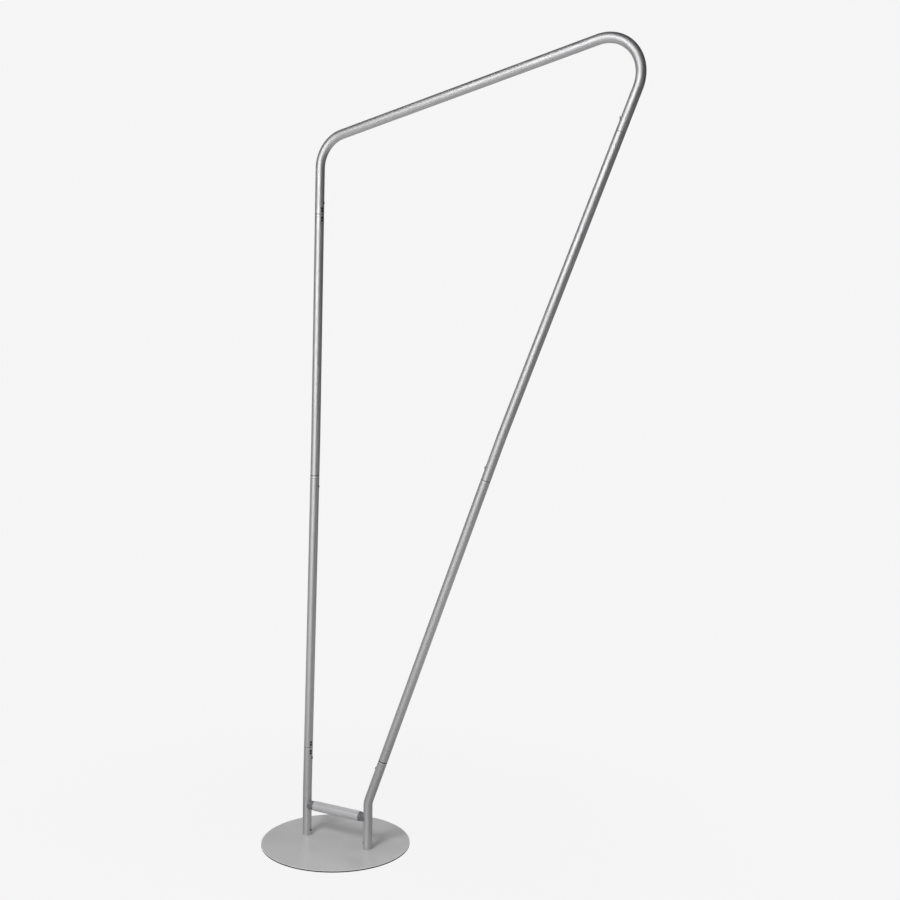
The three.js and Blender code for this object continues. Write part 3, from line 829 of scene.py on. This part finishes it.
# %% [markdown]
# ## The crossbar and its saddles
# The cross tube is a little fatter than the posts. At each end a dark moulded saddle plugs
# into it. Its mouth is coped to the round of the post, and fine ribs run round its collar.
# The mouth is cut with a cylinder as wide as the post, which is how a hole saw would cope it.

# %% Build the crossbar
BAR_R = 0.0165
BAR_BORE_R = 0.014
BAR_LIP = 0.0006


def crossbar():
    low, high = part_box("crossbar_tube")
    reach = (high.x - low.x) / 2
    profile = []
    for z, way in ((-reach, -1), (reach, 1)):
        arc = [(BAR_R - BAR_LIP * behind, z - way * BAR_LIP * ahead)
               for ahead, behind in quarter(LIP_STEPS)]
        arc.append((BAR_BORE_R + 0.0002, z))
        arc.append((BAR_BORE_R, z - way * 0.0003))
        profile += arc if way > 0 else list(reversed(arc))
    body = turned("fine_crossbar_tube", profile, 72, loop=True)
    turn = Matrix.Rotation(math.pi / 2, 4, "Y")
    place(body, Matrix.Translation(saddle_mid) @ turn)
    return smooth(body)


settle(crossbar(), CROSSBAR, "tube_finish", "root", "crossbar_tube")

# %% Build the saddles
SADDLE_R = 0.0150
SADDLE_MOUTH = 0.008
SADDLE_END = 0.0315
SADDLE_PLUG_R = 0.0137
SADDLE_PLUG_END = SADDLE_END + 0.022
RIB_PITCH = 0.004
RIB_DEPTH = 0.0007
RIB_FLANK = 0.0006
RIB_FLOOR = 0.0010
RIB_BREAK = 0.0002
PLUG_LEAD_IN = 0.002
SADDLE_SCREW_R = 0.0030
SADDLE_SCREW_HEAD_R = 0.0050
SADDLE_SCREW_HEAD_T = 0.0034
SADDLE_SCREW_LENGTH = 0.022
SADDLE_SOCKET_R = 0.002


def saddle(name, x, side):
    profile = [(AXIS_R, SADDLE_MOUTH), (SADDLE_R, SADDLE_MOUTH)]
    z = TUBE_R + RIB_PITCH
    while z < SADDLE_END - RIB_PITCH / 2:
        profile += [(SADDLE_R - RIB_BREAK, z - RIB_FLANK), (SADDLE_R - RIB_DEPTH, z),
                    (SADDLE_R - RIB_DEPTH, z + RIB_FLOOR),
                    (SADDLE_R - RIB_BREAK, z + RIB_FLOOR + RIB_FLANK)]
        z += RIB_PITCH
    profile += [(SADDLE_R, SADDLE_END - BREAK), (SADDLE_R - BREAK, SADDLE_END),
                (SADDLE_PLUG_R, SADDLE_END), (SADDLE_PLUG_R, SADDLE_PLUG_END - PLUG_LEAD_IN),
                (SADDLE_PLUG_R - PLUG_LEAD_IN, SADDLE_PLUG_END), (AXIS_R, SADDLE_PLUG_END)]
    body = turned(name, profile, 64)
    post = place(rod(TUBE_R + FOOT_GAP, -0.03, 0.03, 96), Matrix.Rotation(math.pi / 2, 4, "Y"))
    thread = rod(SADDLE_HOLE_R, 0.0, 0.037)
    cut_with(body, [post, thread])
    turn = Matrix.Rotation(side * math.pi / 2, 4, "Y")
    return smooth(place(body, Matrix.Translation((x, 0, CROSSBAR_Z)) @ turn), 30)


def saddle_screw(name, x, side):
    wall = TUBE_BORE_R - FOOT_GAP - 0.001
    head = wall - SADDLE_SCREW_HEAD_T
    tip = wall + SADDLE_SCREW_LENGTH
    body = turned(name, [
        (AXIS_R, head), (0.0030, head), (0.0043, head + 0.0006),
        (SADDLE_SCREW_HEAD_R, head + 0.0018), (SADDLE_SCREW_HEAD_R, wall), (SADDLE_SCREW_R, wall),
        (SADDLE_SCREW_R, tip - 0.001), (SADDLE_SCREW_R - 0.001, tip), (AXIS_R, tip)], 40)
    socket = turned("cutter", [(SADDLE_SOCKET_R, head - 0.001),
                               (SADDLE_SOCKET_R, head + 0.002)], 6)
    cut_with(body, [socket])
    turn = Matrix.Rotation(side * math.pi / 2, 4, "Y")
    return smooth(place(body, Matrix.Translation((x, 0, CROSSBAR_Z)) @ turn))


for node, (x, side) in feet.items():
    hand = node.replace("_peg", "")
    settle(saddle("fine_" + hand + "_saddle", x, side), SADDLE, "saddle_plastic", "root",
           hand + "_saddle")
    settle(saddle_screw("fine_" + hand + "_saddle_screw", x, side), STEEL, "steel", "root",
           hand + "_saddle_screw")
print("saddles run from %.0f to %.0f mm from each post's axis" % (
    1000 * SADDLE_MOUTH, 1000 * SADDLE_PLUG_END))

# %% [markdown]
# ## Spigots, snap buttons and their springs
# Inside each seam a short sleeve joins the two tubes. A domed steel button stands out through
# the sleeve and the tube, and a hairpin of blued strip pushes it out from behind.
# The button slides inwards on its own joint, so it rides on its own body. On the real stand
# the strip bends as the button is pressed: its far leg stays with the tube and its near leg
# goes with the button. Here it keeps its rest shape and rides on neither body.

# %% Build the fittings
SPIGOT_R = 0.0131
SPIGOT_BORE_R = 0.011
SPIGOT_HALF = 0.060
BUTTON_R = 0.004
BUTTON_TIP = TUBE_R + 0.0035
BUTTON_DOME = 0.0019
FLANGE_T = 0.0012
FLANGE_CLEAR = 0.0003
LEAF_T = 0.0006
LEAF_WIDTH = 0.008
LEAF_LENGTH = 0.040
LEAF_BEND_R = 0.004


def spigot(name, matrix, side):
    body = turned(name, [
        (SPIGOT_BORE_R, -SPIGOT_HALF), (SPIGOT_R - 0.0006, -SPIGOT_HALF),
        (SPIGOT_R, -SPIGOT_HALF + 0.0008), (SPIGOT_R, SPIGOT_HALF - 0.0008),
        (SPIGOT_R - 0.0006, SPIGOT_HALF), (SPIGOT_BORE_R, SPIGOT_HALF)], 48, loop=True)
    hole = place(rod(HOLE_R, 0.004, 0.02), Matrix.Translation((0, 0, side * BUTTON_FROM_SEAM))
                 @ Matrix.Rotation(math.pi / 2, 4, "Y"))
    return smooth(place(cut_with(body, [hole]), matrix))


def button(name, matrix, bore):
    """A domed pin with a flange behind the wall, turned about Z and then laid along +X."""
    stop = bore - CLEAR - FLANGE_CLEAR
    back = stop - FLANGE_T
    flange = min(0.005, math.sqrt((bore - CLEAR) ** 2 - stop ** 2))
    profile = [(0.0003, back), (BUTTON_R - 0.0008, back), (flange, back + 0.0003),
               (flange, stop), (BUTTON_R, stop), (BUTTON_R, BUTTON_TIP - BUTTON_DOME)]
    dome = 7
    for k in range(1, dome + 1):
        a = math.pi / 2 * k / dome
        profile.append((BUTTON_R * math.cos(a) + 0.0003 * math.sin(a),
                        BUTTON_TIP - BUTTON_DOME + BUTTON_DOME * math.sin(a)))
    body = turned(name, profile, 40)
    return smooth(place(body, matrix @ Matrix.Rotation(math.pi / 2, 4, "Y")), 50)


def leaf_path(bore):
    """The hairpin's middle line in X and Z: up the far wall, round the bend, out to the button."""
    far = -bore + 0.0012 + LEAF_T / 2
    near = bore - CLEAR - FLANGE_CLEAR - FLANGE_T - CLEAR - LEAF_T / 2
    turn_r = LEAF_BEND_R - LEAF_T / 2
    bend_z = -LEAF_LENGTH + LEAF_BEND_R
    path = [(far, 0.006), (far, -0.012), (far, bend_z)]
    for k in range(1, 12):
        a = math.pi + math.pi * k / 12
        path.append((far + turn_r + turn_r * math.cos(a), bend_z + turn_r * math.sin(a)))
    path.append((far + 2 * turn_r, bend_z))
    for k in range(1, 9):
        f = k / 9
        ease = f * f * (3 - 2 * f)
        path.append((far + 2 * turn_r + (near - far - 2 * turn_r) * (0.35 * f + 0.65 * ease),
                     bend_z + (-0.006 - bend_z) * f))
    return path + [(near, -0.006), (near, 0.006)]


def leaf(name, matrix, bore):
    """The strip: its middle line thickened by half the gauge each way, and given its width."""
    path = [Vector((x, 0, z)) for x, z in leaf_path(bore)]
    rings = []
    for i, point in enumerate(path):
        run = (path[min(i + 1, len(path) - 1)] - path[max(i - 1, 0)]).normalized()
        out = Vector((run.z, 0, -run.x)) * (LEAF_T / 2)
        wide = Vector((0, LEAF_WIDTH / 2, 0))
        rings.append([point + out + wide, point - out + wide, point - out - wide,
                      point + out - wide])
    heights = [0.003 * i for i in range(len(rings))]
    body = mesh_from_rings(name, rings, round_lengths=heights)
    return smooth(place(body, matrix), 30)


def fit_lock(name, point, tangent, leaf_along, bore):
    """The button on its own body, and its spring in its rest shape, on no body."""
    inward = window_side(tangent)
    pressed = "press_" + name
    body = button("fine_" + name + "_button", frame_at(point, tangent, inward), bore)
    settle(body, POLISHED, "button_steel", pressed, name + "_button")
    strip = leaf("fine_" + name + "_leaf_spring", frame_at(point, leaf_along, inward), bore)
    settle(strip, BLUED, "spring_steel", None, name + "_leaf_spring")
    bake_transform(strip)


for joint, side in button_side.items():
    seam_point, seam_tangent = line.at(seams[joint])
    inward = window_side(seam_tangent)
    sleeve = spigot("fine_" + joint + "_spigot", frame_at(seam_point, seam_tangent, inward), side)
    settle(sleeve, SPIGOT, "spigot_finish", "root", joint + "_spigot")
    button_point, _ = line.at(seams[joint] + side * BUTTON_FROM_SEAM)
    fit_lock(joint, button_point, seam_tangent, seam_tangent * side, SPIGOT_BORE_R)
for node, (x, side) in feet.items():
    up = Vector((0, 0, 1))
    fit_lock(node, Vector((x, 0, FOOT_Z + PEG_BUTTON_UP)), up * side, -up, PEG_BORE_R)
print("fittings", len(button_side) + len(feet))

# %% [markdown]
# ## Fitting marks
# So that the tubes go back in the right order, the two outer seams of the upright leg carry
# small printed marks, two above and two below, that line up when the tubes are pushed home.
# They are made as plain bars of ink: thin curved patches that lie on the tube's surface.

# %% Print the marks
MARK_OFFSETS = (-0.0205, -0.0118, 0.0095, 0.0182)
MARK_LENGTH = 0.0070
MARK_WIDTH = 0.0092
MARK_PROUD = 0.00006
MARK_SUNK = 0.00004
MARK_SQUARENESS = 5
MARK_END = 0.62
MARK_TURN = math.radians(19)


def mark(name, distance):
    """A rounded bar of ink on the tube, with its own small thickness."""
    across, along = 10, 10
    outer, inner = [], []
    for j in range(along + 1):
        v = -math.cos(math.pi * j / along)
        curve = (1 - min(1.0, abs(v)) ** MARK_SQUARENESS) ** (1 / MARK_SQUARENESS)
        pinch = max(MARK_END, curve)
        for i in range(across + 1):
            u = 2 * i / across - 1
            angle = MARK_TURN - u * pinch * MARK_WIDTH / 2 / TUBE_R
            point, tangent = line.at(distance + v * MARK_LENGTH / 2)
            out = window_side(tangent) * math.cos(angle) + Vector((0, -math.sin(angle), 0))
            outer.append(point + out * (TUBE_R + MARK_PROUD))
            inner.append(point + out * (TUBE_R - MARK_SUNK))
    width = across + 1
    faces = []
    for j in range(along):
        for i in range(across):
            a = j * width + i
            faces.append((a, a + 1, a + width + 1, a + width))
    count = len(outer)
    rim = list(range(width))
    rim += [j * width + across for j in range(1, along + 1)]
    rim += [along * width + i for i in range(across - 1, -1, -1)]
    rim += [j * width for j in range(along - 1, 0, -1)]
    back = [tuple(count + k for k in reversed(face)) for face in faces]
    edge = [(rim[k], count + rim[k], count + rim[(k + 1) % len(rim)], rim[(k + 1) % len(rim)])
            for k in range(len(rim))]
    mesh = bpy.data.meshes.new(name)
    mesh.from_pydata([tuple(p) for p in outer + inner], [], faces + back + edge)
    piece = bpy.data.objects.new(name, mesh)
    scene.collection.objects.link(piece)
    return smooth(piece, 30)


for joint in ("left_lower", "left_upper"):
    for k, offset in enumerate(MARK_OFFSETS):
        patch = mark("%s_mark_%d" % (joint, k + 1), seams[joint] + offset)
        settle(patch, INK, "tube_finish", "root")
print("marks", 2 * len(MARK_OFFSETS))

# %% [markdown]
# ## Floor, light and camera
# The stand is shown on a plain pale floor. A large soft light in front gives each tube one
# broad bright band with darker edges. It shows in reflections only. A smaller light near it
# does the opposite: it lights only matt surfaces and casts the crossbar's shadow on the plate.
# A low light brightens the posts, one at each side rounds their edges, and one behind keeps
# the back from going black.
# The room's own light is even for matt surfaces and darker for reflections, which keeps the
# metal from looking like white paint.

# %% Floor and room light
FLOOR_SIZE = 60.0
BACKDROP = 0.918
BOUNCE = 0.88
FLOOR_GREY = 0.05
ROOM_MATT = 0.50
ROOM_GLOSSY = 0.05
floor_mesh = bpy.data.meshes.new("floor")
reach = FLOOR_SIZE / 2
floor_mesh.from_pydata([(-reach, -reach, 0), (reach, -reach, 0), (reach, reach, 0),
                        (-reach, reach, 0)], [], [(0, 1, 2, 3)])
floor = bpy.data.objects.new("floor", floor_mesh)
scene.collection.objects.link(floor)
floor.location.z = -0.0002
floor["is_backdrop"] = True


def floor_paper():
    """Seamless paper: it takes a faint shadow near the stand and is even farther away."""
    material = bpy.data.materials.new("floor_paper")
    material.use_nodes = True
    tree = material.node_tree
    near = tree.nodes["Principled BSDF"]
    near.inputs["Base Color"].default_value = (FLOOR_GREY, FLOOR_GREY, FLOOR_GREY, 1)
    near.inputs["Roughness"].default_value = 0.9
    near.inputs["Specular IOR Level"].default_value = 0.0
    near.inputs["Emission Color"].default_value = (1, 1, 1, 1)
    near.inputs["Emission Strength"].default_value = BACKDROP - 1.1 * FLOOR_GREY
    far = add(tree, "ShaderNodeEmission", in_Strength=BACKDROP)
    spot = add(tree, "ShaderNodeTexCoord").outputs["Object"]
    away = add(tree, "ShaderNodeVectorMath", operation="LENGTH", in_0=spot).outputs["Value"]
    side = add(tree, "ShaderNodeSeparateXYZ", in_0=spot).outputs[0]
    sheet = times(tree, ramp(tree, away, 1.4, 4.5, 1.0, 0.10),
                  ramp(tree, side, 1.2, 2.6, 1.0, 0.05))
    sheet = times(tree, sheet, ramp(tree, away, 0.6, 1.8, 0.30, 1.0))
    bounce = add(tree, "ShaderNodeEmission", in_Strength=times(tree, sheet, BOUNCE))
    seen = add(tree, "ShaderNodeMixShader", in_0=ramp(tree, away, 0.5, 1.6),
               in_1=near.outputs[0], in_2=far.outputs[0])
    light = add(tree, "ShaderNodeLightPath")
    either = add(tree, "ShaderNodeMixShader", in_0=light.outputs["Is Camera Ray"],
                 in_1=bounce.outputs[0], in_2=seen.outputs[0])
    tree.links.new(either.outputs[0], tree.nodes["Material Output"].inputs[0])
    return material


floor.data.materials.append(floor_paper())

world = bpy.data.worlds.new("room")
scene.world = world
world.use_nodes = True
sky = world.node_tree
sky.nodes.clear()
path = sky.nodes.new("ShaderNodeLightPath")
out = sky.nodes.new("ShaderNodeOutputWorld")
seen = add(sky, "ShaderNodeBackground", in_Color=(1, 1, 1, 1), in_Strength=BACKDROP)
even = add(sky, "ShaderNodeBackground", in_Color=(1, 1, 1, 1), in_Strength=ROOM_MATT)
dim = add(sky, "ShaderNodeBackground", in_Color=(1, 0.99, 0.98, 1), in_Strength=ROOM_GLOSSY)
matt = add(sky, "ShaderNodeMixShader", in_0=path.outputs["Is Glossy Ray"],
           in_1=even.outputs[0], in_2=dim.outputs[0])
room = add(sky, "ShaderNodeMixShader", in_0=path.outputs["Is Camera Ray"],
           in_1=matt.outputs[0], in_2=seen.outputs[0])
sky.links.new(room.outputs[0], out.inputs[0])
scene.view_settings.view_transform = "Standard"


# %% Lights
def softbox(name, location, target, width, height, power, matt=True, glossy=True):
    """A soft rectangle of light. matt and glossy say which kind of surface it shows on."""
    data = bpy.data.lights.new(name, "AREA")
    data.shape, data.size, data.size_y, data.energy = "RECTANGLE", width, height, power
    lamp = bpy.data.objects.new(name, data)
    scene.collection.objects.link(lamp)
    lamp.location = location
    lamp.rotation_mode = "QUATERNION"
    aim = Vector(target) - Vector(location)
    lamp.rotation_quaternion = aim.to_track_quat("-Z", "Y")
    lamp.visible_camera = False
    lamp.visible_diffuse, lamp.visible_glossy = matt, glossy


softbox("key_softbox", (0.25, -3.5, 2.65), (0.2, 0, 1.5), 2.9, 2.8, 101, matt=False)
softbox("low_softbox", (0.3, -2.8, 0.5), (0.0, 0, 0.5), 2.0, 0.8, 6)
softbox("left_softbox", (-3.6, 0.4, 1.3), (0.0, 0, 1.3), 2.6, 2.6, 9)
softbox("right_softbox", (3.6, 1.4, 0.6), (0.0, 0, 0.7), 3.0, 1.2, 7)
softbox("rear_softbox", (-1.5, 2.9, 3.7), (0.3, 0, 1.3), 2.2, 2.2, 34, matt=False)
softbox("shade_softbox", (0.1, -2.9, 2.9), (0, 0, 0), 1.2, 1.2, 90, glossy=False)
print("lights", len(bpy.data.lights))

# %% Camera
CAMERA_TURN = math.radians(29.038)
CAMERA_DOWN = math.radians(4.925)
CAMERA_ROLL = math.radians(0.96)
CAMERA_DISTANCE = 3.5616
LOOK_AT = Vector((0.3409, 0.0, 1.1806))
LENS = 45.27
SHIFT_X, SHIFT_Y = 0.0226, 0.0557

look = Vector((-math.sin(CAMERA_TURN) * math.cos(CAMERA_DOWN),
               math.cos(CAMERA_TURN) * math.cos(CAMERA_DOWN), -math.sin(CAMERA_DOWN)))
level = look.cross(Vector((0, 0, 1))).normalized()
upright = level.cross(look)
right = level * math.cos(CAMERA_ROLL) + upright * math.sin(CAMERA_ROLL)
top = upright * math.cos(CAMERA_ROLL) - level * math.sin(CAMERA_ROLL)
camera_data = bpy.data.cameras.new("camera")
camera_data.sensor_width, camera_data.lens = 36.0, LENS
camera_data.shift_x, camera_data.shift_y = SHIFT_X, SHIFT_Y
camera_data.clip_start, camera_data.clip_end = 0.05, 200.0
camera = bpy.data.objects.new("camera", camera_data)
scene.collection.objects.link(camera)
camera.matrix_world = Matrix.Translation(LOOK_AT - look * CAMERA_DISTANCE) \
    @ Matrix((right, top, -look)).transposed().to_4x4()
scene.camera = camera

# %% Finish
low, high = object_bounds()
print("visual model %.3f x %.3f x %.3f m" % tuple(high - low))
